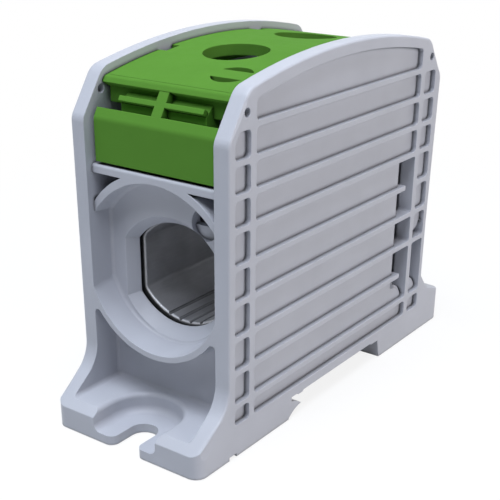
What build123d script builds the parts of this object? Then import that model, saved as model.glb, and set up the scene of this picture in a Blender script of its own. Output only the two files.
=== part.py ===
from build123d import *
import os
from math import atan2, degrees, sqrt

# Earth terminal block, in millimetres.
# X runs across the block, Y along the conductor (the front faces -Y) and Z up.
# The origin is the middle of the footprint, on the mounting surface.

os.makedirs("parts", exist_ok=True)

# Overall form of the housing
width = 37.0
plate_wall = 3.3
plate_reach = 38.8
foot_reach = 48.4
crown_height = 73.3
crown_radius = 152.0
shoulder_height = 61.3
brow_reach = 33.0
shoulder_radius = 3.0
brow_radius = 4.1
front_flank_top = 12.0
front_toe_height = 4.8
front_flank_radius = 7.5
rear_flank_top = 9.6
rear_toe_height = 7.65
rear_flank_radius = 6.0
toe_radius = 0.3
rim_rounding = 0.5
toe_corner_radius = 2.5

# Side ribbing
panel_depth = 1.1
panel_corner = 0.9
panel_floor_radius = 0.4
rib_width = 1.05
rib_heights = [10.9, 17.8, 24.75, 31.7, 38.6, 45.55, 51.55, 57.55, 63.5]
lowest_row_base = 6.85
crown_border = 2.3
slant_border = 1.9
main_panel_front = -30.9
main_panel_rear = 29.4
column_rib = 1.6
front_column_width = 4.6
rear_column_width = 5.0

# Openings in the near side plate, beside the rear entry
window_front = 24.1
window_corner = 0.6
stub_reach = 1.7
main_lump_radius = 6.4
main_lump_centre = (24.0, 9.0)
column_lump_radius = 3.3
column_lump_centre = (33.4, 11.0)
cell_disc_radius = 2.75
lump_rounding = 0.9
disc_rounding = 0.4
cell_disc_centre = (33.3, 29.4)

# Sealing holes near the shoulders
seal_hole_radius = 0.85
seal_hole_reach = 33.65
seal_hole_height = 65.9

# End walls, entry funnels and shelves
end_wall = 2.5
end_wall_reach = 32.85
end_wall_top = 58.7
funnel_height = 34.7
mouth_top = 50.95
mouth_bottom = 17.4
mouth_upper_arc = 18.55
mouth_lower_arc = 16.1
funnel_top = 50.6
funnel_bottom = 18.05
funnel_upper_arc = 18.4
funnel_lower_arc = 16.1
funnel_back_fillet = 0.8
ring_top = 52.55
ring_bottom = 16.2
ring_upper_arc = 19.1
ring_lower_arc = 17.32
shelf_height = 52.5
shelf_thickness = 1.7
shelf_reach = 37.25
shelf_rounding = 0.6
corner_hole_radius = 0.55
post_height = 63.05
post_shoulder = 31.1
post_reach = 34.4
post_toe_height = 60.4
post_width = 5.0

# Conductor bore, a tall lens with flat sides, and the tapered step in front of it
bore_half_width = 10.0
bore_top = 41.5
bore_bottom = 21.1
bore_arc = 12.8
bore_ridge = 1.2
bore_rim = 0.5
step_half_width = 11.7
step_top = 43.6
step_bottom = 18.55
step_arc = 13.9
throat_half_width = 10.05
throat_top = 41.7
throat_bottom = 20.8
throat_arc = 13.0

# Auxiliary terminal
aux_x = 8.4
aux_y = 24.6
aux_entry_height = 43.8
aux_entry_radius = 3.1
aux_web_top = 43.2
aux_web_recess = 1.2
aux_wire_radius = 2.3
aux_wire_depth = 7.6
aux_thread_radius = 3.0
aux_thread_floor = 42.2
aux_screw_length = 10.0
aux_lift = 0.3
aux_travel = 4.0

# Base and feet
base_top = 16.4
foot_floor = 6.2
rear_floor = 7.65
foot_slot_reach = 42.7
foot_slot_radius = 3.0
foot_recess_radius = 8.0
foot_recess_floor = 2.0
foot_recess_fillet = 1.6
foot_rim_fillet = 1.0
slot_mouth_radius = 1.8
bay_fillet = 0.85
rear_recess_floor = 5.1
base_skin = 1.6
core_rib = 1.6

# Rail seat for a 35 mm top-hat rail
rail_half_width = 17.5
rail_thickness = 1.0
rail_play = 0.14
seat_height = 4.8
seat_bump = 0.35
lip_front = 18.6
lip_tip = 14.1
lip_tip_height = 2.14
jaw_top = 17.5
jaw_bottom = 18.5
toe_groove = 2.3
toe_groove_depth = 0.7

# Rail latch in its T-shaped channel, and its return spring
latch_flange_width = 14.0
latch_body_width = 9.6
latch_floor = 0.4
latch_step = 1.8
latch_top = 3.4
latch_side_clearance = 0.2
latch_height_clearance = 0.2
latch_nose = 16.0
latch_tail = 46.8
latch_fork_width = 7.0
latch_fork_reach = 37.0
latch_travel = 3.2
spring_pocket_front = 21.0
spring_pocket_rear = 32.2
spring_pocket_width = 3.0
spring_pocket_floor = 0.9
spring_radius = 0.9
spring_wire = 0.35
spring_turns = 9
stop_length = 1.4
stop_clearance = 0.2

# Connector block
block_clearance = 0.3
block_half_length = 29.0
block_height = 38.6
block_corner = 1.2
block_catch = 0.9
serration_count = 4
serration_pitch = 2.6
serration_size = 0.5

# Clamp screws and their pads
clamp_reach = 12.0
clamp_radius = 7.0
thread_clearance = 0.06
thread_pitch = 1.5
clamp_screw_length = 18.0
socket_width = 6.0
socket_depth = 7.0
pad_radius = 6.0
pad_thickness = 2.4
pad_rest_height = 42.4
pad_gap = 0.1
stem_radius = 2.5
stem_length = 3.5
stem_clearance = 0.08
clamp_travel = 14.0

# Cover
cover_gap = 0.15
cover_drop = 1.56
cover_sheet = 2.2
flap_reach = 37.0
flap_bend_height = 61.2
flap_half_width = 14.3
flap_gap = 0.55
cover_brow_reach = 33.3
cover_bend_radius = 1.6
cover_brow_radius = 0.8
pocket_bottom = 63.0
pocket_top = 67.1
access_radius = 6.5
aux_access_radius = 3.9
aux_bar_width = 3.7
edge_notch_reach = 15.15
edge_notch_length = 4.1
edge_notch_depth = 2.0
cross_bar_half = 9.9
cross_bar_bottom = 64.6
cross_bar_top = 65.4
cross_post_half = 1.15
cross_thickness = 1.1
cross_post_thickness = 1.7
inner_wall = 1.5
inner_wall_reach = 32.0
inner_wall_half = 14.4
inner_wall_bottom = 63.35
tray_reach = 33.95
tray_half = 9.95
tray_top = 65.65
tray_bend = 63.9
tray_bottom = 59.0

# Sizes that follow from those above
half_width = width / 2
plate_inner = half_width - plate_wall
crown_centre = crown_height - crown_radius
end_wall_inner = end_wall_reach - end_wall
cover_half = plate_inner - cover_gap
block_half = plate_inner - block_clearance
block_base = base_top + 0.2
block_top = block_base + block_height
column_front = main_panel_front - column_rib - front_column_width
column_rear = main_panel_rear + column_rib
row_bases = [lowest_row_base] + [z + rib_width / 2 for z in rib_heights]
row_tops = [z - rib_width / 2 for z in rib_heights]
slant_slope = (plate_reach - brow_reach) / (crown_height - 3.6 - shoulder_height)


def crown_at(y, drop=0.0):
    """Height of the arched top at y, or of an arch that lies drop below it."""
    return crown_centre + sqrt((crown_radius - drop) ** 2 - y**2)


def side_outline(plane):
    """Outline of a whole side plate, both feet included."""
    brow_height = crown_at(brow_reach)
    with BuildSketch(plane) as outline:
        with BuildLine():
            Polyline(
                (-foot_reach, 0),
                (-foot_reach, front_toe_height),
                (-plate_reach, front_flank_top),
                (-plate_reach, shoulder_height),
                (-brow_reach, brow_height),
            )
            ThreePointArc((-brow_reach, brow_height), (0, crown_height), (brow_reach, brow_height))
            Polyline(
                (brow_reach, brow_height),
                (plate_reach, shoulder_height),
                (plate_reach, rear_flank_top + 2.9),
                (plate_reach + 2.4, rear_flank_top),
                (foot_reach, rear_toe_height),
                (foot_reach, 0),
                (-foot_reach, 0),
            )
        make_face()
        corners = outline.vertices()
        fillet(corners.filter_by(lambda v: abs(v.Y - brow_height) < 0.01), brow_radius)
        corners = outline.vertices()
        fillet(corners.filter_by(lambda v: abs(v.Y - shoulder_height) < 0.01), shoulder_radius)
        corners = outline.vertices()
        fillet(corners.filter_by(lambda v: abs(v.Y - front_flank_top) < 0.01), front_flank_radius)
        corners = outline.vertices()
        fillet(corners.filter_by(lambda v: abs(v.Y - rear_flank_top) < 0.01), rear_flank_radius)
        corners = outline.vertices()
        fillet(corners.filter_by(lambda v: abs(v.Y - front_toe_height) < 0.01), toe_radius)
    return outline.sketch


def lens(plane, half, top, bottom, upper_arc, lower_arc):
    """Flat-sided lens: two shallow arcs joined by upright sides."""
    upper = top - upper_arc + sqrt(upper_arc**2 - half**2)
    lower = bottom + lower_arc - sqrt(lower_arc**2 - half**2)
    with BuildSketch(plane) as outline:
        with BuildLine():
            ThreePointArc((-half, upper), (0, top), (half, upper))
            Line((half, upper), (half, lower))
            ThreePointArc((half, lower), (0, bottom), (-half, lower))
            Line((-half, lower), (-half, upper))
        make_face()
    return outline.sketch


def rail_profile(plane):
    """Section of the rail seat, with the fixed lip in front and the jaw wall behind."""
    notch = rail_half_width + rail_play
    flange_bottom = seat_height - seat_bump - rail_thickness
    with BuildSketch(plane) as section:
        with BuildLine():
            Polyline((-lip_front, -1), (-lip_front, 0), (-lip_front, 0.25))
            ThreePointArc(
                (-lip_front, 0.25),
                (-lip_front + 1.7, 1.35),
                (-lip_tip, lip_tip_height),
            )
            Polyline(
                (-lip_tip, lip_tip_height),
                (-lip_tip - 1.9, flange_bottom - 0.3),
                (-notch, flange_bottom + 0.3),
                (-notch, seat_height),
                (-notch + 2.2, seat_height),
                (-notch + 2.5, seat_height - seat_bump),
                (-notch + 4.0, seat_height - seat_bump),
                (-notch + 4.4, seat_height),
                (jaw_top - 3.2, seat_height),
                (jaw_top - 2.9, seat_height - seat_bump),
                (jaw_top, seat_height - seat_bump),
                (jaw_bottom, 0),
                (jaw_bottom, -1),
                (-lip_front, -1),
            )
        make_face()
    return section.sketch


def shelf_corners(plane):
    """The two three-cornered holes between the shelf, the ring and the side plates."""
    ceiling = shelf_height - shelf_thickness
    with BuildSketch(plane) as holes:
        with Locations((0, ceiling)):
            Rectangle(2 * plate_inner, ceiling - funnel_height, align=(Align.CENTER, Align.MAX))
        with Locations((0, ring_top - ring_upper_arc)):
            Circle(ring_upper_arc, mode=Mode.SUBTRACT)
        fillet(holes.vertices(), corner_hole_radius)
    return holes.sketch


def u_outline(plane, radius, reach, side=-1):
    """U-shaped outline around the fixing slot that opens towards the toe of a foot."""
    align = Align.MAX if side < 0 else Align.MIN
    with BuildSketch(plane) as outline:
        with Locations((0, side * foot_slot_reach)):
            Circle(radius)
            Rectangle(2 * radius, reach, align=(Align.CENTER, align))
    return outline.sketch


def main_row(plane, index):
    """One long recess of the ribbed panel, counted from the bottom."""
    base = row_bases[index]
    top = row_tops[index] if index < len(row_tops) else crown_height
    with BuildSketch(plane) as row:
        with Locations((main_panel_front, base)):
            Rectangle(main_panel_rear - main_panel_front, top - base, align=(Align.MIN, Align.MIN))
        with Locations((0, crown_centre)):
            Circle(crown_radius - crown_border, mode=Mode.INTERSECT)
        fillet(row.vertices(), panel_corner)
    return row.sketch


def column_cell(plane, base, top, start, size):
    """One short recess of a column beside the panel; the top one follows the shoulder."""
    outer = -1 if start < 0 else 1
    with BuildSketch(plane) as cell:
        with Locations((start, base)):
            Rectangle(size, top - base, align=(Align.MIN, Align.MIN))
        if top > shoulder_height and outer < 0:
            with Locations((-plate_reach + slant_border, shoulder_height)):
                Rectangle(
                    20,
                    20,
                    rotation=-degrees(atan2(plate_reach - brow_reach, 8.37)),
                    align=(Align.MAX, Align.CENTER),
                    mode=Mode.SUBTRACT,
                )
        fillet(cell.vertices(), panel_corner)
    return cell.sketch


def recess_tool(cell, depth):
    """Cutter for one recess, with a rounded floor; it enters the side plate from outside."""
    with BuildPart() as tool:
        extrude(cell, amount=-depth)
        extrude(cell, amount=1.0)
        floor = tool.faces().sort_by(Axis.X)[0 if cell.center().X > 0 else -1]
        fillet(floor.edges(), panel_floor_radius)
    return tool.part


def lens_throat():
    """The tapered step through the front end wall, ahead of the conductor bore."""
    with BuildPart() as cutter:
        step_plane = Plane.XZ.offset(end_wall_reach + 0.02)
        step = lens(step_plane, step_half_width, step_top, step_bottom, step_arc, step_arc)
        throat_plane = Plane.XZ.offset(end_wall_inner)
        throat = lens(
            throat_plane, throat_half_width, throat_top, throat_bottom, throat_arc, throat_arc
        )
        loft([throat, step])
        extrude(throat, amount=-1)
    return cutter.part


def entry_cutter():
    """What is hollow in the front end around the bore: funnel and corner holes."""
    back = lens(
        Plane.XZ.offset(end_wall_reach),
        plate_inner,
        funnel_top,
        funnel_bottom,
        funnel_upper_arc,
        funnel_lower_arc,
    )
    mouth = lens(
        Plane.XZ.offset(plate_reach),
        plate_inner,
        mouth_top,
        mouth_bottom,
        mouth_upper_arc,
        mouth_lower_arc,
    )
    with BuildPart() as cutter:
        loft([back, mouth])
        fillet(cutter.faces().sort_by(Axis.Y)[-1].edges(), funnel_back_fillet)
        extrude(mouth, amount=5)
        extrude(shelf_corners(Plane.XZ.offset(end_wall_inner - 1)), amount=20)
    return cutter.part


def bay_cutter(side, floor):
    """The hollow between the plates, above one foot and below its funnel."""
    with BuildPart() as cutter:
        with BuildSketch(Plane.XZ.offset(-side * end_wall_reach)) as section:
            with Locations((0, floor)):
                Rectangle(2 * plate_inner, funnel_height - floor, align=(Align.CENTER, Align.MIN))
            with Locations((0, ring_bottom + ring_lower_arc)):
                Circle(ring_lower_arc, mode=Mode.SUBTRACT)
            fillet(section.vertices(), bay_fillet)
        extrude(amount=-side * 20)
        back = cutter.faces().sort_by(Axis.Y)[0 if side > 0 else -1]
        fillet(back.edges(), 0.9 * bay_fillet)
    return cutter.part


def foot_cutter(side, ledge, top):
    """U-shaped recess and fixing slot of one foot, open towards its toe."""
    with BuildPart() as cutter:
        recess = u_outline(Plane.XY.offset(ledge), foot_recess_radius, 12, side)
        extrude(recess, amount=top - ledge + 8)
        floor = cutter.faces().sort_by(Axis.Z)[0]
        rounded = floor.edges().filter_by(lambda e: abs(e.center().Y) < foot_slot_reach + 8)
        fillet(rounded, min(foot_recess_fillet, 0.45 * (top - ledge)))
        slot = u_outline(Plane.XY.offset(-1), foot_slot_radius, 12, side)
        extrude(slot, amount=ledge + 3)
    return cutter.part


# Housing: two side plates joined by the base, the end walls, the funnels and the shelves
with BuildPart() as housing:
    with BuildPart(mode=Mode.PRIVATE) as plate:
        extrude(side_outline(Plane.YZ.offset(plate_inner)), amount=plate_wall)
        toes = plate.edges().filter_by(Axis.Z).filter_by(
            lambda e: e.center().X > half_width - 0.01 and abs(e.center().Y) > foot_reach - 0.01
        )
        fillet(toes, toe_corner_radius)
        outer_face = plate.faces().sort_by(Axis.X)[-1]
        fillet(outer_face.edges().filter_by(lambda e: e.center().Z > 1), rim_rounding)
    add(plate.part)
    mirror(plate.part, Plane.YZ)

    # Base and both feet, filled up to the middle of the funnels until the bays are cut
    outline = side_outline(Plane.YZ.offset(-plate_inner))
    extrude(outline, amount=2 * plate_inner)
    with Locations((0, 0, base_top)):
        Box(
            2 * plate_inner,
            2 * end_wall_reach,
            2 * crown_height,
            align=(Align.CENTER, Align.CENTER, Align.MIN),
            mode=Mode.SUBTRACT,
        )
    for side, floor in ((-1, foot_floor), (1, rear_floor)):
        with Locations((0, side * end_wall_reach, funnel_height)):
            Box(
                2 * plate_inner,
                40,
                2 * crown_height,
                align=(Align.CENTER, Align.MAX if side < 0 else Align.MIN, Align.MIN),
                mode=Mode.SUBTRACT,
            )
        add(bay_cutter(side, floor), mode=Mode.SUBTRACT)

    for side in (-1, 1):
        with Locations((0, side * (end_wall_reach - end_wall / 2), 0)):
            Box(2 * plate_inner, end_wall, end_wall_top, align=(Align.CENTER, Align.CENTER, Align.MIN))
        shelf_length = shelf_reach - end_wall_inner
        with Locations((0, side * (shelf_reach - shelf_length / 2), shelf_height)):
            Box(2 * plate_inner, shelf_length, shelf_thickness, align=(Align.CENTER, Align.CENTER, Align.MAX))
        for post_x in (-plate_inner, plate_inner - post_width):
            with BuildSketch(Plane.YZ.offset(post_x)) as post:
                with BuildLine():
                    Polyline(
                        (side * end_wall_inner, shelf_height - 0.5),
                        (side * end_wall_inner, post_height),
                        (side * post_shoulder, post_height),
                        (side * post_reach, post_toe_height),
                        (side * post_reach, shelf_height - 0.5),
                        (side * end_wall_inner, shelf_height - 0.5),
                    )
                make_face()
            extrude(post.sketch, amount=post_width)
        ring_plane = Plane.XZ.offset(plate_reach if side < 0 else -end_wall_inner)
        ring = lens(
            ring_plane, plate_inner, ring_top, ring_bottom, ring_upper_arc, ring_lower_arc
        )
        extrude(ring, amount=-(plate_reach - end_wall_inner))
        # The arch of the ring stands back with the shelf, its lower half is flush with the plates
        with Locations((0, side * shelf_reach, funnel_height)):
            Box(
                2 * plate_inner,
                5,
                20,
                align=(Align.CENTER, Align.MAX if side < 0 else Align.MIN, Align.MIN),
                mode=Mode.SUBTRACT,
            )
        with Locations((0, side * (shelf_reach + end_wall_inner) / 2, shelf_height)):
            Box(
                2 * plate_inner - 2 * post_width,
                shelf_reach - end_wall_inner,
                1,
                align=(Align.CENTER, Align.CENTER, Align.MIN),
                mode=Mode.SUBTRACT,
            )

    for hollow in (entry_cutter(), lens_throat()):
        add(hollow, mode=Mode.SUBTRACT)
        add(mirror(hollow, Plane.XZ, mode=Mode.PRIVATE), mode=Mode.SUBTRACT)
    with BuildSketch(Plane.XZ.offset(end_wall_inner - 1)):
        with Locations((aux_x, aux_entry_height)):
            Circle(aux_entry_radius)
    extrude(amount=end_wall + 2, mode=Mode.SUBTRACT)
    # Web that is broken out of the auxiliary entry before use
    with BuildSketch(Plane.XZ.offset(end_wall_inner)):
        with Locations((aux_x, aux_entry_height)):
            Circle(aux_entry_radius + 0.2)
        with Locations((aux_x, aux_web_top)):
            Rectangle(10, 10, align=(Align.CENTER, Align.MAX), mode=Mode.INTERSECT)
    extrude(amount=end_wall - aux_web_recess)
    add(lens_throat(), mode=Mode.SUBTRACT)

    for side in (-1, 1):
        lip = housing.edges().filter_by(Axis.X).filter_by(
            lambda e: abs(e.center().Z - shelf_height) < 0.01
            and abs(e.center().Y - side * shelf_reach) < 0.01
        )
        fillet(lip, shelf_rounding)

    for side, ledge, floor in (
        (-1, foot_recess_floor, foot_floor),
        (1, rear_recess_floor, rear_floor),
    ):
        add(foot_cutter(side, ledge, floor), mode=Mode.SUBTRACT)
        rim = housing.edges().filter_by(
            lambda e: abs(e.center().Z - floor) < 0.01
            and abs(e.center().X) < foot_recess_radius + 0.1
            and side * e.center().Y > foot_slot_reach - foot_recess_radius - 0.1
            and side * e.center().Y < foot_reach - 0.5
        )
        fillet(rim, foot_rim_fillet)
        mouth = housing.edges().filter_by(Axis.Z).filter_by(
            lambda e: abs(e.center().Y - side * foot_reach) < 0.01
            and abs(abs(e.center().X) - foot_slot_radius) < 0.01
        )
        fillet(mouth, slot_mouth_radius)

    extrude(rail_profile(Plane.YZ.offset(-half_width - 1)), amount=width + 2, mode=Mode.SUBTRACT)
    with Locations((0, -plate_reach + toe_groove / 2, 0)):
        Box(
            width + 2,
            toe_groove,
            2 * toe_groove_depth,
            mode=Mode.SUBTRACT,
        )

    # Hollow cores under the connector block, open to the rail seat
    for core_x in (-10.4, 0, 10.4):
        for core_y in (-9, 0, 9):
            with Locations((core_x, core_y, seat_height - 1)):
                Box(
                    8.8,
                    7.4,
                    base_top - base_skin - seat_height + 1,
                    align=(Align.CENTER, Align.CENTER, Align.MIN),
                    mode=Mode.SUBTRACT,
                )

    # Channel of the rail latch, with a stop for its spring
    channel_flange = latch_flange_width + 2 * latch_side_clearance
    channel_body = latch_body_width + 2 * latch_side_clearance
    channel_step = latch_step - 0.05
    channel_top = latch_top + latch_height_clearance
    with Locations((0, jaw_top - 2, channel_step)):
        Box(
            channel_flange,
            40,
            channel_top - channel_step,
            align=(Align.CENTER, Align.MIN, Align.MIN),
            mode=Mode.SUBTRACT,
        )
    with Locations((0, jaw_top - 2, -1)):
        Box(
            channel_body,
            40,
            channel_step + 1.5,
            align=(Align.CENTER, Align.MIN, Align.MIN),
            mode=Mode.SUBTRACT,
        )
    stop_rear = spring_pocket_rear - stop_clearance
    with Locations((0, stop_rear, spring_pocket_floor + 0.25)):
        Box(
            spring_pocket_width - 0.5,
            stop_length,
            channel_top - spring_pocket_floor,
            align=(Align.CENTER, Align.MAX, Align.MIN),
        )

    # Snap ledges that hold the connector block down
    for flank in (-1, 1):
        with BuildSketch(Plane.XZ.offset(-5)):
            with BuildLine():
                Polyline(
                    (flank * plate_inner, block_top + 0.1),
                    (flank * (plate_inner - block_catch), block_top + 0.1),
                    (flank * (plate_inner - block_catch), block_top + 0.5),
                    (flank * plate_inner, block_top + 2.1),
                    (flank * plate_inner, block_top + 0.1),
                )
            make_face()
        extrude(amount=10)

    # Side ribbing on both plates
    outside = Plane.YZ.offset(half_width)
    cells = [main_row(outside, index) for index in range(len(row_bases))]
    for base, top in zip(row_bases, row_tops):
        cells.append(column_cell(outside, base, top, column_front, front_column_width))
    for index, (base, top) in enumerate(zip(row_bases, row_tops)):
        cells.append(column_cell(outside, base, top, column_rear, rear_column_width))
    for cell in cells:
        tool = recess_tool(cell, panel_depth)
        add(tool, mode=Mode.SUBTRACT)
        add(mirror(tool, Plane.YZ, mode=Mode.PRIVATE), mode=Mode.SUBTRACT)

    # Openings through the near plate only
    for low, high, stub in ((4, 5, True), (3, 3, False), (1, 2, True)):
        base = row_bases[low] if low != 4 else row_bases[4]
        top = row_tops[high]
        with BuildSketch(Plane.YZ.offset(plate_inner - 1)) as window:
            with Locations((window_front, base)):
                Rectangle(main_panel_rear - window_front, top - base, align=(Align.MIN, Align.MIN))
            fillet(window.vertices(), window_corner)
            if stub:
                rib_z = rib_heights[low]
                with Locations((window_front, rib_z)):
                    Rectangle(
                        2 * stub_reach, rib_width, align=(Align.CENTER, Align.CENTER), mode=Mode.SUBTRACT
                    )
            if low == 1:
                with Locations(main_lump_centre):
                    Circle(main_lump_radius, mode=Mode.SUBTRACT)
        extrude(amount=plate_wall + 2, mode=Mode.SUBTRACT)
    with BuildSketch(Plane.YZ.offset(plate_inner - 1)) as tall_cell:
        base = row_bases[1]
        top = row_tops[2]
        with Locations((column_rear, base)):
            Rectangle(rear_column_width, top - base, align=(Align.MIN, Align.MIN))
        fillet(tall_cell.vertices(), window_corner)
        with Locations(column_lump_centre):
            Circle(column_lump_radius, mode=Mode.SUBTRACT)
    extrude(amount=plate_wall + 2, mode=Mode.SUBTRACT)

    with BuildSketch(Plane.YZ.offset(plate_inner - 1)) as rounded_cell:
        base = row_bases[3]
        with Locations((column_rear, base)):
            Rectangle(rear_column_width, 3.4, align=(Align.MIN, Align.MIN))
        fillet(rounded_cell.vertices().sort_by(Axis.Y)[:2], window_corner)
        with Locations(cell_disc_centre):
            Circle(cell_disc_radius, mode=Mode.SUBTRACT)
    extrude(amount=plate_wall + 2, mode=Mode.SUBTRACT)

    # The bosses seen through those openings have rounded edges
    for lump_radius, rounding in (
        (main_lump_radius, lump_rounding),
        (column_lump_radius, lump_rounding),
        (cell_disc_radius, disc_rounding),
    ):
        lump_rims = housing.edges().filter_by(GeomType.CIRCLE).filter_by(
            lambda e: abs(e.radius - lump_radius) < 0.01
            and abs(e.center().X - half_width + panel_depth) < 0.01
        )
        fillet(lump_rims, rounding)

    # Sealing holes through both plates near each shoulder
    with BuildSketch(Plane.YZ.offset(-half_width - 1)):
        with Locations((-seal_hole_reach, seal_hole_height), (seal_hole_reach, seal_hole_height)):
            Circle(seal_hole_radius)
    extrude(amount=width + 2, mode=Mode.SUBTRACT)
housing.part.label = "housing"
export_step(housing.part, "parts/housing.step")

# Cover: one arched and folded sheet with a front and a rear flap
cover_slope = (flap_reach - cover_brow_reach) / (pocket_top - flap_bend_height)


def slanted_bar(side, low, high, depth, proud):
    """Section of a piece of the slanted face, between two heights and square to the face."""
    lean = sqrt(1 + cover_slope**2)
    corners = []
    for height, inward in ((low, -proud), (high, -proud), (high, depth), (low, depth)):
        reach = flap_reach - cover_slope * (height - flap_bend_height) - inward / lean
        corners.append((side * reach, height - inward * cover_slope / lean))
    with BuildSketch(Plane.YZ) as section:
        with BuildLine():
            Polyline(*corners, corners[0])
        make_face()
    return section.sketch


corner_y = 32.75
flap_bottom = shelf_height + flap_gap
with BuildPart() as cover:
    with BuildSketch(Plane.YZ.offset(-cover_half)) as cover_section:
        with BuildLine():
            ThreePointArc(
                (-corner_y, crown_at(corner_y, cover_drop)),
                (0, crown_height - cover_drop),
                (corner_y, crown_at(corner_y, cover_drop)),
            )
            Polyline(
                (corner_y, crown_at(corner_y, cover_drop)),
                (flap_reach, flap_bend_height),
                (flap_reach, flap_bottom),
                (-flap_reach, flap_bottom),
                (-flap_reach, flap_bend_height),
                (-corner_y, crown_at(corner_y, cover_drop)),
            )
        make_face()
        shell_outline = cover_section.sketch_local.face()
        inside = offset(
            shell_outline, amount=-cover_sheet, kind=Kind.INTERSECTION, mode=Mode.PRIVATE
        )
        add(inside, mode=Mode.SUBTRACT)
        with Locations((0, flap_bottom)):
            Rectangle(
                2 * (flap_reach - cover_sheet),
                3 * cover_sheet,
                mode=Mode.SUBTRACT,
            )
        bends = cover_section.vertices().filter_by(
            lambda v: abs(v.Y - flap_bend_height) < 0.01 and abs(v.X) > flap_reach - 0.1
        )
        fillet(bends, cover_bend_radius)
        brows = cover_section.vertices().filter_by(
            lambda v: abs(v.Y - crown_at(corner_y, cover_drop)) < 0.01
        )
        fillet(brows, cover_brow_radius)
    extrude(amount=2 * cover_half)

    for side in (-1, 1):
        # The flap is a little narrower than the roof
        for flank in (-1, 1):
            with Locations((flank * flap_half_width, side * 34, pocket_bottom)):
                Box(
                    5,
                    12,
                    30,
                    align=(
                        Align.MIN if flank > 0 else Align.MAX,
                        Align.CENTER,
                        Align.MAX,
                    ),
                    mode=Mode.SUBTRACT,
                )
        # Pocket cut square through the slanted face
        pocket = slanted_bar(side, pocket_bottom, pocket_top, 3.2, 3.0)
        extrude(pocket, amount=2 * plate_inner + 5, both=True, mode=Mode.SUBTRACT)
        # Post and bar that cross the pocket
        bar = slanted_bar(side, cross_bar_bottom, cross_bar_top, cross_thickness, 0)
        extrude(bar, amount=cross_bar_half, both=True)
        post = slanted_bar(side, pocket_bottom - 0.4, pocket_top + 0.4, cross_post_thickness, 0)
        extrude(post, amount=cross_post_half, both=True)
        # Wall behind the pocket, with a shallow tray in front of it
        with Locations((0, side * inner_wall_reach, inner_wall_bottom)):
            Box(
                2 * inner_wall_half,
                inner_wall,
                5,
                align=(Align.CENTER, Align.MAX if side > 0 else Align.MIN, Align.MIN),
            )
        with BuildSketch(Plane.YZ) as tray:
            with BuildLine():
                Polyline(
                    (side * (inner_wall_reach - inner_wall), tray_bottom),
                    (side * tray_reach, tray_bottom),
                    (side * tray_reach, tray_bend),
                    (side * inner_wall_reach, tray_top),
                    (side * (inner_wall_reach - inner_wall), tray_top),
                    (side * (inner_wall_reach - inner_wall), tray_bottom),
                )
            make_face()
        extrude(tray.sketch, amount=tray_half, both=True)
        with Locations((0, side * (flap_reach - cover_sheet + 0.3), tray_bottom)):
            Box(
                2 * tray_half,
                flap_reach - cover_sheet + 0.3 - inner_wall_reach,
                1.4,
                align=(Align.CENTER, Align.MAX if side > 0 else Align.MIN, Align.MIN),
            )
        with BuildSketch(Plane.YZ.offset(-cross_post_half)):
            with BuildLine():
                Polyline(
                    (side * (tray_reach - 0.3), tray_bottom + 1),
                    (side * (flap_reach - cover_sheet + 0.2), tray_bottom + 1),
                    (side * (flap_reach - cover_sheet + 0.2), pocket_bottom - 1.5),
                    (side * (inner_wall_reach + 0.6), pocket_top),
                    (side * (inner_wall_reach - 0.6), pocket_top),
                    (side * (inner_wall_reach - 0.6), tray_bottom + 1),
                    (side * (tray_reach - 0.3), tray_bottom + 1),
                )
            make_face()
        extrude(amount=2 * cross_post_half)

    # Stiffening ribs under the roof
    for rib_x in (-10.6, 10.6):
        with BuildSketch(Plane.YZ.offset(rib_x - 0.7)):
            with Locations((0, crown_centre)):
                Circle(crown_radius - cover_drop - cover_sheet + 0.3)
                Circle(crown_radius - cover_drop - cover_sheet - 2.4, mode=Mode.SUBTRACT)
            with Locations((0, crown_height)):
                Rectangle(2 * inner_wall_reach - 1.0, 40, mode=Mode.INTERSECT)
        extrude(amount=1.4)

    # Access holes over the clamp screws
    with BuildSketch(Plane.XY.offset(crown_height - 12)):
        with Locations((0, -clamp_reach), (0, clamp_reach)):
            Circle(access_radius)
    extrude(amount=20, mode=Mode.SUBTRACT)
    # Access hole over the auxiliary screw, with the bar that is broken out before use
    with BuildSketch(Plane.XY.offset(crown_height - 12)):
        with Locations((aux_x, -aux_y)):
            Circle(aux_access_radius)
            Rectangle(20, aux_bar_width, mode=Mode.SUBTRACT)
    extrude(amount=20, mode=Mode.SUBTRACT)
    # Notches along the edges
    for side in (-1, 1):
        for flank in (-1, 1):
            with Locations((flank * (cover_half - edge_notch_depth), side * edge_notch_reach, 60)):
                Box(
                    5,
                    edge_notch_length,
                    20,
                    align=(Align.MIN if flank > 0 else Align.MAX, Align.CENTER, Align.MIN),
                    mode=Mode.SUBTRACT,
                )
cover.part.label = "cover"
export_step(cover.part, "parts/cover.step")

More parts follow.
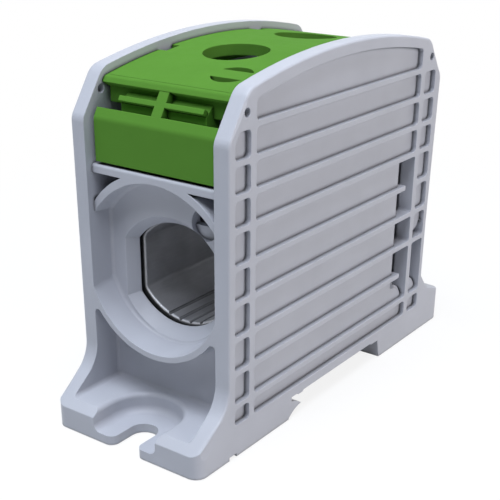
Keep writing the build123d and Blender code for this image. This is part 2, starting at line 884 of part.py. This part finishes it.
# Connector block, bored along Y and tapped from above
with BuildPart() as connector_block:
    with BuildSketch(Plane.XZ.offset(-block_half_length)):
        with Locations((0, block_base)):
            Rectangle(2 * block_half, block_height, align=(Align.CENTER, Align.MIN))
    extrude(amount=2 * block_half_length)
    fillet(connector_block.edges().filter_by(Axis.Y), block_corner)
    bore_plane = Plane.XZ.offset(-block_half_length - 1)
    with BuildSketch(bore_plane) as bore:
        add(lens(Plane.XY, bore_half_width, bore_top, bore_bottom, bore_arc, bore_arc))
        fillet(bore.vertices(), bore_ridge)
    extrude(bore.sketch, amount=2 * block_half_length + 2, mode=Mode.SUBTRACT)
    rims = connector_block.edges().filter_by(
        lambda e: abs(abs(e.center().Y) - block_half_length) < 0.01
        and abs(e.center().X) < bore_half_width + 0.1
        and bore_bottom - 0.1 < e.center().Z < bore_top + 0.1
    )
    fillet(rims, bore_rim)
    with BuildSketch(bore_plane):
        middle = (serration_count - 1) / 2
        for index in range(serration_count):
            groove_x = (index - middle) * serration_pitch
            groove_z = bore_bottom + bore_arc - sqrt(bore_arc**2 - groove_x**2)
            with Locations((groove_x, groove_z)):
                Rectangle(1.4 * serration_size, 1.4 * serration_size, rotation=45)
    extrude(amount=2 * block_half_length + 2, mode=Mode.SUBTRACT)
    with Locations((0, -clamp_reach, block_top), (0, clamp_reach, block_top)):
        Hole(clamp_radius + thread_clearance, block_top - funnel_height)
    with BuildSketch(Plane.XY.offset(block_top)):
        with Locations((aux_x, -aux_y)):
            Circle(aux_thread_radius + thread_clearance)
    extrude(amount=aux_thread_floor - block_top, mode=Mode.SUBTRACT)
    with BuildSketch(Plane.XZ.offset(block_half_length)):
        with Locations((aux_x, aux_entry_height)):
            Circle(aux_wire_radius)
    extrude(amount=-aux_wire_depth, mode=Mode.SUBTRACT)
    mouths = connector_block.edges().filter_by(GeomType.CIRCLE).filter_by(
        lambda e: abs(e.center().Z - block_top) < 0.01
    )
    chamfer(mouths, 0.6)
connector_block.part.label = "connector_block"
export_step(connector_block.part, "parts/connector_block.step")


def set_screw(radius, length, key, key_depth, stem_hole):
    """Set screw standing on its point at the origin, with a hexagon socket in its top."""
    with BuildPart() as screw:
        Cylinder(radius, length, align=(Align.CENTER, Align.CENTER, Align.MIN))
        chamfer(screw.edges().filter_by(GeomType.CIRCLE), 0.12 * radius)
        with BuildSketch(Plane.XY.offset(length)):
            RegularPolygon(key / 2, 6, major_radius=False)
        extrude(amount=-key_depth, mode=Mode.SUBTRACT)
        if stem_hole > 0:
            Cylinder(
                stem_radius + stem_clearance,
                stem_hole,
                align=(Align.CENTER, Align.CENTER, Align.MIN),
                mode=Mode.SUBTRACT,
            )
    return screw.part


# Clamp screws with their swivelling pads, front and rear
screw_height = pad_rest_height + pad_thickness + pad_gap
for side, word in ((-1, "front"), (1, "rear")):
    with BuildPart() as clamp_screw:
        with Locations((0, side * clamp_reach, screw_height)):
            add(set_screw(clamp_radius, clamp_screw_length, socket_width, socket_depth, stem_length + 0.3))
    clamp_screw.part.label = "clamp_screw_" + word
    export_step(clamp_screw.part, "parts/clamp_screw_" + word + ".step")
    with BuildPart() as pressure_pad:
        with Locations((0, side * clamp_reach, pad_rest_height)):
            Cylinder(pad_radius, pad_thickness, align=(Align.CENTER, Align.CENTER, Align.MIN))
        chamfer(pressure_pad.edges().filter_by(GeomType.CIRCLE), 0.4)
        with Locations((0, side * clamp_reach, pad_rest_height + pad_thickness)):
            Cylinder(stem_radius, stem_length, align=(Align.CENTER, Align.CENTER, Align.MIN))
    pressure_pad.part.label = "pressure_pad_" + word
    export_step(pressure_pad.part, "parts/pressure_pad_" + word + ".step")

# Small screw of the auxiliary terminal
aux_bottom = aux_entry_height + aux_wire_radius + aux_lift
with BuildPart() as aux_screw:
    with Locations((aux_x, -aux_y, aux_bottom)):
        add(set_screw(aux_thread_radius, aux_screw_length, 3.0, 3.5, 0))
aux_screw.part.label = "aux_screw"
export_step(aux_screw.part, "parts/aux_screw.step")

# Rail latch: a T-shaped slide with a bevelled nose and a forked tail
with BuildPart() as rail_latch:
    latch_length = latch_tail - latch_nose
    for latch_width, low, high in (
        (latch_flange_width, latch_step, latch_top),
        (latch_body_width, latch_floor, latch_step),
    ):
        with Locations((0, latch_nose, low)):
            Box(latch_width, latch_length, high - low, align=(Align.CENTER, Align.MIN, Align.MIN))
    with BuildSketch(Plane.YZ.offset(-half_width)):
        with BuildLine():
            Polyline(
                (latch_nose - 1, latch_top - 1.0),
                (latch_nose, latch_top - 1.0),
                (latch_nose + 1.9, latch_floor),
                (latch_nose + 1.9, latch_floor - 1),
                (latch_nose - 1, latch_floor - 1),
                (latch_nose - 1, latch_top - 1.0),
            )
        make_face()
    extrude(amount=width, mode=Mode.SUBTRACT)
    with BuildSketch(Plane.XY):
        with Locations((0, latch_fork_reach + latch_fork_width / 2)):
            Circle(latch_fork_width / 2)
            Rectangle(latch_fork_width, 20, align=(Align.CENTER, Align.MIN))
    extrude(amount=5, mode=Mode.SUBTRACT)
    pocket_length = spring_pocket_rear - spring_pocket_front
    with Locations((0, spring_pocket_front, spring_pocket_floor)):
        Box(
            spring_pocket_width,
            pocket_length,
            5,
            align=(Align.CENTER, Align.MIN, Align.MIN),
            mode=Mode.SUBTRACT,
        )
rail_latch.part.label = "rail_latch"
export_step(rail_latch.part, "parts/rail_latch.step")

# Return spring of the latch, between the front of its pocket and the stop in the housing
spring_start = spring_pocket_front + spring_wire / 2 + 0.02
spring_end = spring_pocket_rear - stop_clearance - stop_length - spring_wire / 2 - 0.02
spring_height = spring_pocket_floor + spring_radius + spring_wire / 2 + 0.1
spring_length = spring_end - spring_start
with BuildPart() as latch_spring:
    with BuildLine() as coil:
        Helix(
            spring_length / spring_turns,
            spring_length,
            spring_radius,
            center=(0, spring_start, spring_height),
            direction=(0, 1, 0),
        )
    with BuildSketch(Plane(origin=coil.line @ 0, z_dir=coil.line % 0)):
        Circle(spring_wire / 2)
    sweep(is_frenet=True)
latch_spring.part.label = "latch_spring"
export_step(latch_spring.part, "parts/latch_spring.step")
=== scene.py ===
# %% [markdown]
# # An earth terminal block, dressed around its imported CAD parts
#
# The object is a tall moulded housing with two ribbed side plates, a green
# cover between them and a metal connector block inside. Eight of its ten
# pieces are shown just as the CAD model has them. The other two are shown as
# copies made here: the housing, whose outer edges are drawn out to a crisper
# form, and the latch's spring. The rest of this script gives the pieces their
# finishes and sets the floor, the light and the camera.
#
# Everything is in metres. X runs across the block, Y along the conductor
# with the front at -Y, and Z up from the mounting surface.

# %% Load the imported parts
import math

import bmesh
import bpy
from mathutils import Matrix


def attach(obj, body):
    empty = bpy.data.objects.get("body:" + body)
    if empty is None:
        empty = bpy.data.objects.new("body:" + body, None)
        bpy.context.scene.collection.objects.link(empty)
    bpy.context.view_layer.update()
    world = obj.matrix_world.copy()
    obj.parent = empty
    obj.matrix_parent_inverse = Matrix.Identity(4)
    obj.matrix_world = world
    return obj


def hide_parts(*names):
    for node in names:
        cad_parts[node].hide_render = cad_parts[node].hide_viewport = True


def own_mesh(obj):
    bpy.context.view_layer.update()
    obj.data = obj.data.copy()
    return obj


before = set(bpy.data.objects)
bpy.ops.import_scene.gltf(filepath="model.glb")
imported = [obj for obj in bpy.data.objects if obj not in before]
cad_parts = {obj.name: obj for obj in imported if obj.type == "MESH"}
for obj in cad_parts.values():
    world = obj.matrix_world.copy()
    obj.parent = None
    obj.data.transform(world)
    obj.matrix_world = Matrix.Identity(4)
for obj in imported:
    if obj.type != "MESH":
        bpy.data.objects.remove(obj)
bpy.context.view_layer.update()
bpy.ops.object.select_all(action="DESELECT")
print("parts:", sorted(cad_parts))

# %% [markdown]
# ## Small helpers for materials
#
# A material in Blender is a network of nodes. Each helper below adds a few
# nodes and links them, so the recipes further down read like a list of steps.
# All patterns read Object coordinates. Every part's object sits at the
# origin, so those are the real places on the part, in metres, and a noise
# scale of 4000 means grains of about a quarter of a millimetre.


# %% A new material
def new_material(name):
    """An empty material with its shader, its tree and the place on the object."""
    material = bpy.data.materials.new(name)
    material.use_nodes = True
    tree = material.node_tree
    shader = tree.nodes["Principled BSDF"]
    place = tree.nodes.new("ShaderNodeTexCoord").outputs["Object"]
    return material, tree, shader, place


# %% Patterns
noise_low = 0.3
noise_high = 0.7


def stretched(tree, place, scale):
    """The same place with its axes scaled, so that a pattern turns into streaks."""
    mapping = tree.nodes.new("ShaderNodeMapping")
    mapping.inputs["Scale"].default_value = scale
    tree.links.new(place, mapping.inputs["Vector"])
    return mapping.outputs["Vector"]


def noise(tree, place, scale, detail=3.0, roughness=0.5):
    """A cloudy pattern, with nearly all of it between noise_low and noise_high."""
    node = tree.nodes.new("ShaderNodeTexNoise")
    node.inputs["Scale"].default_value = scale
    node.inputs["Detail"].default_value = detail
    node.inputs["Roughness"].default_value = roughness
    tree.links.new(place, node.inputs["Vector"])
    return node.outputs["Fac"]


def between(tree, value, first, last, low, high):
    """Runs from low to high as the value runs from first to last, and stays level outside."""
    node = tree.nodes.new("ShaderNodeMapRange")
    node.inputs["From Min"].default_value = first
    node.inputs["From Max"].default_value = last
    node.inputs["To Min"].default_value = low
    node.inputs["To Max"].default_value = high
    tree.links.new(value, node.inputs["Value"])
    return node.outputs["Result"]


def spread(tree, pattern, low, high):
    """The noise pattern, made to run from low to high."""
    return between(tree, pattern, noise_low, noise_high, low, high)


# %% Colours
def colour_mix(tree, value, first, second):
    """A colour that runs from first to second as the value runs from 0 to 1."""
    node = tree.nodes.new("ShaderNodeMix")
    node.data_type = "RGBA"
    node.inputs["A"].default_value = (*first, 1.0)
    node.inputs["B"].default_value = (*second, 1.0)
    tree.links.new(value, node.inputs["Factor"])
    return node.outputs["Result"]


def scaled(tree, colour, level):
    """The colour times the level."""
    node = tree.nodes.new("ShaderNodeVectorMath")
    node.operation = "SCALE"
    tree.links.new(colour, node.inputs[0])
    tree.links.new(level, node.inputs["Scale"])
    return node.outputs["Vector"]


# %% Edges and relief
edge_samples = 6


def soft_edges(tree, radius):
    """Normals that round off sharp edges, as a mould's edges are rounded."""
    node = tree.nodes.new("ShaderNodeBevel")
    node.samples = edge_samples
    node.inputs["Radius"].default_value = radius
    return node.outputs["Normal"]


def bump(tree, height, depth, normal):
    """Fine relief of the given depth, laid over another normal."""
    node = tree.nodes.new("ShaderNodeBump")
    node.inputs["Strength"].default_value = 1.0
    node.inputs["Distance"].default_value = depth
    tree.links.new(height, node.inputs["Height"])
    tree.links.new(normal, node.inputs["Normal"])
    return node.outputs["Normal"]


# %% Painted shade in narrow corners
# A point's openness is the share of short rays from it that hit nothing.
closed_openness = 0.38
full_openness = 0.86
openness_samples = 6


def painted_corner_shade(tree, reach, darkest):
    """Painted shade: 1 on open faces, falling to darkest in corners where rays as long as reach
    hit a wall.
    """
    node = tree.nodes.new("ShaderNodeAmbientOcclusion")
    node.samples = openness_samples
    node.inputs["Distance"].default_value = reach
    return between(
        tree, node.outputs["AO"], closed_openness, full_openness, darkest, 1.0
    )


# %% Painted highlight on the edges
# The likeness of two normals is 1 where they agree and falls as they part.
edge_likeness = 0.80
face_likeness = 0.99


def painted_edge_highlight(tree, soft_normal, brightest):
    """Painted highlight: 1 on faces, rising to brightest where the softened normal leaves the
    true one.
    """
    true_normal = tree.nodes.new("ShaderNodeNewGeometry").outputs["Normal"]
    likeness = tree.nodes.new("ShaderNodeVectorMath")
    likeness.operation = "DOT_PRODUCT"
    tree.links.new(true_normal, likeness.inputs[0])
    tree.links.new(soft_normal, likeness.inputs[1])
    return between(
        tree, likeness.outputs["Value"], edge_likeness, face_likeness, brightest, 1.0
    )


# %% [markdown]
# ## The moulded plastics
#
# The housing and the cover are injection moulded. Such plastic is one colour
# all through, with a satin skin that copies the fine grain of the steel
# mould. A flat colour would look like a drawing, so the recipe adds three
# things: a very faint cloudiness in the colour, a roughness that wanders a
# little, and a grain about a hundredth of a millimetre deep. A Bevel node
# rounds the edges in the shading, and a painted highlight makes the colour a
# little lighter there, for the thin bright line that every moulded edge
# shows. Narrow corners get painted shade: their colour is made darker than
# the light alone would leave them.
#
# A painted texture could do the same, but each part would have to be
# unwrapped for it. These patterns are worked out from the place on the part,
# so they fit every part as it is.

# %% Values of the moulded skin
cloud_scale = 90.0
cloud_darker = 0.965
cloud_lighter = 1.03
skin_scale = 700.0
skin_smoother = 0.04
skin_rougher = 0.05
grain_scale = 5200.0
grain_depth = 0.000012
# Painted shade in narrow corners: how far its rays reach, and its darkest share.
plastic_crease_reach = 0.0009
plastic_painted_shade_level = 0.04
# Painted highlight: how much lighter the colour gets along the edges.
plastic_painted_highlight_level = 1.3


# %% Moulded plastic
def moulded_plastic(name, colour, roughness, edge_radius, gloss):
    """Satin moulded plastic of one colour."""
    material, tree, shader, place = new_material(name)
    cloud = noise(tree, place, cloud_scale, detail=2.0)
    deeper = tuple(cloud_darker * channel for channel in colour)
    lighter = tuple(cloud_lighter * channel for channel in colour)
    tint = colour_mix(tree, spread(tree, cloud, 0.0, 1.0), deeper, lighter)
    edges = soft_edges(tree, edge_radius)
    # Painted shade: the colour is darkened in narrow corners.
    tint = scaled(tree, tint, painted_corner_shade(tree, plastic_crease_reach, plastic_painted_shade_level))
    # Painted highlight: the colour is lightened along the edges.
    tint = scaled(tree, tint, painted_edge_highlight(tree, edges, plastic_painted_highlight_level))
    tree.links.new(tint, shader.inputs["Base Color"])
    skin = noise(tree, place, skin_scale, detail=3.0)
    tree.links.new(
        spread(tree, skin, roughness - skin_smoother, roughness + skin_rougher),
        shader.inputs["Roughness"],
    )
    grain = noise(tree, place, grain_scale, detail=2.0)
    normal = bump(tree, grain, grain_depth, edges)
    tree.links.new(normal, shader.inputs["Normal"])
    shader.inputs["Specular IOR Level"].default_value = gloss
    return material


# %% The three plastics
housing_plastic = moulded_plastic(
    "blue grey plastic",
    colour=(0.50, 0.51, 0.555),
    roughness=0.36,
    edge_radius=0.0002,
    gloss=0.30,
)
cover_plastic = moulded_plastic(
    "leaf green plastic",
    colour=(0.100, 0.256, 0.035),
    roughness=0.72,
    edge_radius=0.0002,
    gloss=0.04,
)
latch_plastic = moulded_plastic(
    "latch plastic",
    colour=(0.46, 0.47, 0.51),
    roughness=0.50,
    edge_radius=0.00015,
    gloss=0.20,
)
print("plastics:", housing_plastic.name, cover_plastic.name, latch_plastic.name)

# %% [markdown]
# ## The metals
#
# The connector block is extruded aluminium with a dull grey plating. Its bore
# is drawn through a die, which leaves fine lines along Y. The screws and
# pads are zinc plated steel, turned on a lathe, so their marks are finer and
# run round. The spring is bare steel wire. All three are the same recipe
# with a pattern that is stretched in another direction.

# %% Values of the metals
mark_detail = 4.0
mark_roughness = 0.6
mark_smoother = 0.07
mark_rougher = 0.09
stain_scale = 160.0
stain_level = 0.82
# Painted shade in the metals' narrow corners: how far its rays reach, and its darkest share.
metal_crease_reach = 0.003
metal_painted_shade_level = 0.08
metal_edge_radius = 0.00015


# %% Plated metal
def plated_metal(name, colour, roughness, streaks, depth):
    """Metal with fine working marks, drawn out along the axes with the smallest scale."""
    material, tree, shader, place = new_material(name)
    shader.inputs["Metallic"].default_value = 1.0
    streaked = stretched(tree, place, streaks)
    marks = noise(tree, streaked, 1.0, detail=mark_detail, roughness=mark_roughness)
    stain = noise(tree, place, stain_scale, detail=3.0)
    darker = tuple(stain_level * channel for channel in colour)
    tint = colour_mix(tree, spread(tree, stain, 0.0, 1.0), darker, colour)
    # Painted shade: the colour is darkened in narrow corners.
    tint = scaled(tree, tint, painted_corner_shade(tree, metal_crease_reach, metal_painted_shade_level))
    tree.links.new(tint, shader.inputs["Base Color"])
    tree.links.new(
        spread(tree, marks, roughness - mark_smoother, roughness + mark_rougher),
        shader.inputs["Roughness"],
    )
    normal = bump(tree, marks, depth, soft_edges(tree, metal_edge_radius))
    tree.links.new(normal, shader.inputs["Normal"])
    return material


# %% The three metals
block_metal = plated_metal(
    "dull plated aluminium",
    colour=(0.52, 0.53, 0.56),
    roughness=0.60,
    streaks=(1500.0, 150.0, 1500.0),
    depth=0.000006,
)
screw_metal = plated_metal(
    "zinc plated steel",
    colour=(0.44, 0.45, 0.47),
    roughness=0.40,
    streaks=(900.0, 900.0, 5200.0),
    depth=0.000008,
)
spring_metal = plated_metal(
    "spring steel",
    colour=(0.50, 0.50, 0.51),
    roughness=0.28,
    streaks=(900.0, 2600.0, 900.0),
    depth=0.000004,
)
print("metals:", block_metal.name, screw_metal.name, spring_metal.name)

# %% [markdown]
# ## Crisp edges on the side plates
#
# The solid rounds the outer edges of the two side plates with one wide
# radius, which is right at the corners of the feet and too soft elsewhere.
# The housing that is shown is a merged copy of that solid in which the wide
# rounding is drawn out to a crisp one. A point on the rounding is known by
# its depth behind the plate's outer face, which gives its turn round the
# edge: 0 degrees on the outer face and 90 degrees on the rim. The points
# near the outer face go out to it, those near the rim go out to the rim,
# and the few between them make the new, small rounding. The corners of both
# feet keep the wide rounding. At the front foot, the edge above them is
# filled up to the foot's sloping top.
#
# A Bevel modifier rounds an edge that is still sharp, and here the edge is
# already gone. Moving the points that are there keeps the mesh closed and
# every rib in its place.

# %% Sizes of the edges
half_width = 0.0185
foot_reach = 0.0484
wide_rounding = 0.0025
crisp_rounding = 0.0005
first_turn = math.radians(30.0)
last_turn = math.radians(60.0)
quarter_turn = 0.5 * math.pi
front_toe_height = 0.0048
front_toe_slope = 0.75
seal_hole_place = (0.03365, 0.0659)
seal_hole_radius = 0.00085

# %% How a point of the rounding is told from the others
# A point deeper than this share of the rounding is on the rim and stays.
rounding_end = 0.999
# Points this close to a seal hole's edge or to a foot's corner belong to it.
hole_margin = 0.0001
corner_margin = 0.0002
# A point near the outer face moves only if its normal leans to it this much.
least_lean = 0.5
# How far a point's lean may be from the rounding's own at that depth.
lean_margin = 0.1
# The upward part of the way out, from where the filling begins to where it is full.
least_upward = 0.05
full_upward = 0.8


# %% Where a point of the front foot's upper edge goes
def toe_point(point, inset, upward):
    """The new place of a point on the wide rounding over the front foot's toe."""
    if point.y > 0.0 or upward < least_upward:
        return None
    toe_top = front_toe_height + front_toe_slope * inset
    share = min(1.0, upward / full_upward)
    return (point.x, inset - foot_reach, point.z + share * (toe_top - point.z))


# %% Where a point of the wide rounding goes
def crisp_point(point, normal):
    """The new place of a point on the wide rounding, or None for any other point."""
    side = math.copysign(1.0, point.x)
    on_outer_face = (side * half_width, point.y, point.z)
    depth = half_width - abs(point.x)
    if not 0.0 < depth < rounding_end * wide_rounding:
        return None
    from_hole = math.hypot(abs(point.y) - seal_hole_place[0], point.z - seal_hole_place[1])
    if from_hole < seal_hole_radius + hole_margin:
        return on_outer_face
    turn = math.acos(1.0 - depth / wide_rounding)
    inset = wide_rounding * (1.0 - math.sin(turn))
    at_foot_corner = abs(point.y) > foot_reach - wide_rounding - corner_margin
    lean = normal.x * side
    if turn <= first_turn:
        return on_outer_face if lean > least_lean and not at_foot_corner else None
    if abs(lean - math.cos(turn)) > lean_margin:
        return None
    along = math.hypot(normal.y, normal.z)
    outward = (normal.y / along, normal.z / along)
    if at_foot_corner:
        return toe_point(point, inset, outward[1])
    new_depth = depth
    new_inset = 0.0
    if turn < last_turn:
        new_turn = (turn - first_turn) / (last_turn - first_turn) * quarter_turn
        new_depth = crisp_rounding * (1.0 - math.cos(new_turn))
        new_inset = crisp_rounding * (1.0 - math.sin(new_turn))
    push = inset - new_inset
    return (
        side * (half_width - new_depth),
        point.y + push * outward[0],
        point.z + push * outward[1],
    )


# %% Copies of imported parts
merge_distance = 0.000001
sharp_angle = math.radians(28.0)
large_face_weight = 90


def merged_copy(node_name, piece_name, new_place=None):
    """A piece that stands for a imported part: its triangles joined, its curved faces smooth.

    new_place gives a point's new place from its old place and its normal, or None
    where the point stays.
    """
    bpy.ops.object.select_all(action="DESELECT")
    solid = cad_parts[node_name]
    solid.select_set(True)
    bpy.context.view_layer.objects.active = solid
    bpy.ops.object.duplicate()
    piece = bpy.context.active_object
    piece.name = piece_name
    if piece.data.has_custom_normals:
        bpy.ops.mesh.customdata_custom_splitnormals_clear()
    mesh = bmesh.new()
    mesh.from_mesh(piece.data)
    bmesh.ops.remove_doubles(mesh, verts=mesh.verts, dist=merge_distance)
    mesh.normal_update()
    if new_place is not None:
        moves = [(vertex, new_place(vertex.co, vertex.normal)) for vertex in mesh.verts]
        for vertex, target in moves:
            if target is not None:
                vertex.co = target
    mesh.to_mesh(piece.data)
    mesh.free()
    bpy.ops.object.shade_smooth_by_angle(angle=sharp_angle)
    flat = piece.modifiers.new("large faces stay flat", "WEIGHTED_NORMAL")
    flat.keep_sharp = True
    flat.weight = large_face_weight
    bpy.ops.object.modifier_apply(modifier=flat.name)
    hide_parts(node_name)
    return piece


# %% The housing with crisp edges
housing_shell = merged_copy("housing", "housing_shell", crisp_point)
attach(housing_shell, "base")
print("housing_shell:", len(housing_shell.data.vertices), "points")

# %% [markdown]
# ## The spring of the rail latch
#
# The spring stands between the latch and a stop in the housing. As the latch
# slides back, the spring's front end goes with it and its rear end stays, so
# the real spring gets shorter by just the latch's travel. The spring shown
# here is a merged copy of the imported one that rides on the base and keeps
# its length. A rigid spring would be wrong on either body: riding on the base
# it would be cut by the latch, and riding on the latch it would run into the
# stop.

# %% The return spring
return_spring = merged_copy("latch_spring", "return_spring")
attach(return_spring, "base")
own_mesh(return_spring)

# %% [markdown]
# ## Which part has which finish
#
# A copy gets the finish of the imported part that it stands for, and so does
# the hidden part itself.

# %% Give each part its finish
finishes = {
    "housing": housing_plastic,
    "cover": cover_plastic,
    "rail_latch": latch_plastic,
    "connector_block": block_metal,
    "clamp_screw_front": screw_metal,
    "clamp_screw_rear": screw_metal,
    "pressure_pad_front": screw_metal,
    "pressure_pad_rear": screw_metal,
    "aux_screw": screw_metal,
    "latch_spring": spring_metal,
}
copies = {"housing": housing_shell, "latch_spring": return_spring}
for part_name, finish in finishes.items():
    parts = [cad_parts[part_name]]
    if part_name in copies:
        parts.append(copies[part_name])
    for part in parts:
        part.data.materials.clear()
        part.data.materials.append(finish)
    print(part_name, "is finished in", finish.name)

# %% [markdown]
# ## The floor and the surroundings
#
# A product picture like this has no visible ground: all around the object is
# white. The white comes from the materials of the floor and the world, and
# only for the rays that look at them: from the camera, off a glossy face, or
# through something clear. The rays that carry light find a plain grey table
# and a dark room, so the white adds no light to the object. Near the object
# the table keeps a part of its own shading, and so shows the shadow. Lamps
# strong enough to turn a real sheet plain white would wash out the object.


# %% Rays that look
def looking(tree):
    """1 for rays from the camera, off gloss or through glass, and 0 for all other rays."""
    path = tree.nodes.new("ShaderNodeLightPath")
    found = path.outputs["Is Camera Ray"]
    for kind in ("Is Glossy Ray", "Is Transmission Ray"):
        either = tree.nodes.new("ShaderNodeMath")
        either.operation = "MAXIMUM"
        tree.links.new(found, either.inputs[0])
        tree.links.new(path.outputs[kind], either.inputs[1])
        found = either.outputs["Value"]
    return found


# %% Floor
white = (1.0, 1.0, 1.0)
table_grey = (0.6, 0.6, 0.6)
floor_size = 8.0
# The floor lies this far below the block, so that the two faces don't meet.
floor_gap = 0.0002

bpy.ops.mesh.primitive_plane_add(size=floor_size, location=(0.0, 0.0, -floor_gap))
floor = bpy.context.active_object
floor.name = "floor"
print("floor:", floor_size, "m wide")

# %% The floor's own shading
material, tree, shader, place = new_material("white floor with a soft shadow")
looks = looking(tree)
table = colour_mix(tree, looks, table_grey, white)
tree.links.new(table, shader.inputs["Base Color"])
shader.inputs["Roughness"].default_value = 1.0
shader.inputs["Specular IOR Level"].default_value = 0.0
floor.data.materials.append(material)

# %% The share of plain white in the floor
# It grows with the distance from the block, and far out all is white.
shadow_reach = 0.06
white_reach = 0.22
near_white_share = 0.85

distance = tree.nodes.new("ShaderNodeVectorMath")
distance.operation = "LENGTH"
tree.links.new(place, distance.inputs[0])
share = tree.nodes.new("ShaderNodeMapRange")
share.interpolation_type = "SMOOTHSTEP"
share.inputs["From Min"].default_value = shadow_reach
share.inputs["From Max"].default_value = white_reach
share.inputs["To Min"].default_value = near_white_share
share.inputs["To Max"].default_value = 1.0
tree.links.new(distance.outputs["Value"], share.inputs["Value"])
white_share = tree.nodes.new("ShaderNodeMath")
white_share.operation = "MULTIPLY"
tree.links.new(looks, white_share.inputs[0])
tree.links.new(share.outputs["Result"], white_share.inputs[1])

# %% The floor's white, laid over its shading
plain_white = tree.nodes.new("ShaderNodeEmission")
plain_white.inputs["Color"].default_value = (*white, 1.0)
plain_white.inputs["Strength"].default_value = 1.0
blend = tree.nodes.new("ShaderNodeMixShader")
tree.links.new(white_share.outputs["Value"], blend.inputs[0])
tree.links.new(shader.outputs["BSDF"], blend.inputs[1])
tree.links.new(plain_white.outputs["Emission"], blend.inputs[2])
tree.links.new(blend.outputs["Shader"], tree.nodes["Material Output"].inputs["Surface"])
print("floor material:", material.name)

# %% World: a dark room whose walls look white
world = bpy.data.worlds.new("white surroundings")
bpy.context.scene.world = world
world.use_nodes = True
sky = world.node_tree
room = sky.nodes["Background"]
room.inputs["Strength"].default_value = 0.0
walls = sky.nodes.new("ShaderNodeBackground")
walls.inputs["Color"].default_value = (*white, 1.0)
walls.inputs["Strength"].default_value = 1.0
blend = sky.nodes.new("ShaderNodeMixShader")
sky.links.new(looking(sky), blend.inputs[0])
sky.links.new(room.outputs["Background"], blend.inputs[1])
sky.links.new(walls.outputs["Background"], blend.inputs[2])
sky.links.new(blend.outputs["Shader"], sky.nodes["World Output"].inputs["Surface"])
print("world:", world.name)

# %% [markdown]
# ## Light
#
# The picture has one main light, slightly blue, high above the front end. It
# makes the tops of the plates the brightest faces and leaves the undersides
# of the entry rings dark. A second one like it stands almost straight above
# and lights the cover. A warmer one low on the right fills the long side,
# and a faint one stands on the left. An evenly bright world would need no
# lamps at all, but light from every side would hide the ribs.


# %% Lamps
lamp_size = 0.45
lit_point = (0.0, 0.0, 0.04)


def area_lamp(name, place, power, colour):
    """A square soft lamp at place that shines towards the block's middle."""
    bpy.ops.object.light_add(type="AREA", location=place)
    lamp = bpy.context.active_object
    lamp.name = name
    lamp.data.size = lamp_size
    lamp.data.energy = power
    lamp.data.color = colour
    direction = [lit_point[i] - place[i] for i in range(3)]
    flat = math.hypot(direction[0], direction[1])
    lamp.rotation_euler = (
        math.atan2(flat, -direction[2]),
        0.0,
        math.atan2(-direction[0], direction[1]),
    )
    print(name, "gives", power, "W")


area_lamp("main light", (0.10, -0.28, 0.72), power=4.3, colour=(0.86, 0.90, 1.0))
area_lamp("side light", (0.75, 0.20, 0.25), power=2.7, colour=(1.0, 0.94, 0.912))
area_lamp("left light", (-0.35, -0.35, 0.62), power=0.85, colour=(0.80, 0.92, 1.0))
area_lamp("top light", (0.0, -0.05, 0.75), power=3.0, colour=(0.80, 0.89, 1.0))

# %% [markdown]
# ## Camera
#
# The camera stands to the right of the front end and looks down a little.
# Its place, turn and focal length were solved from the corners of the block
# in the photograph. The shift moves the picture without turning the camera,
# so upright edges keep the slant that the photograph shows.

# %% Camera
camera_place = (0.11937, -0.17200, 0.10425)
degrees_down = 25.57
degrees_left = 36.94

bpy.ops.object.camera_add(
    location=camera_place,
    rotation=(math.radians(90.0 - degrees_down), 0.0, math.radians(degrees_left)),
)
camera = bpy.context.active_object
camera.name = "camera"
camera.data.sensor_width = 36.0
camera.data.lens = 73.42
camera.data.shift_x = 0.0349
camera.data.shift_y = 0.194
camera.data.clip_start = 0.01
bpy.context.scene.camera = camera
bpy.context.scene.view_settings.view_transform = "Standard"
print("camera:", camera.data.lens, "mm lens at", camera_place)
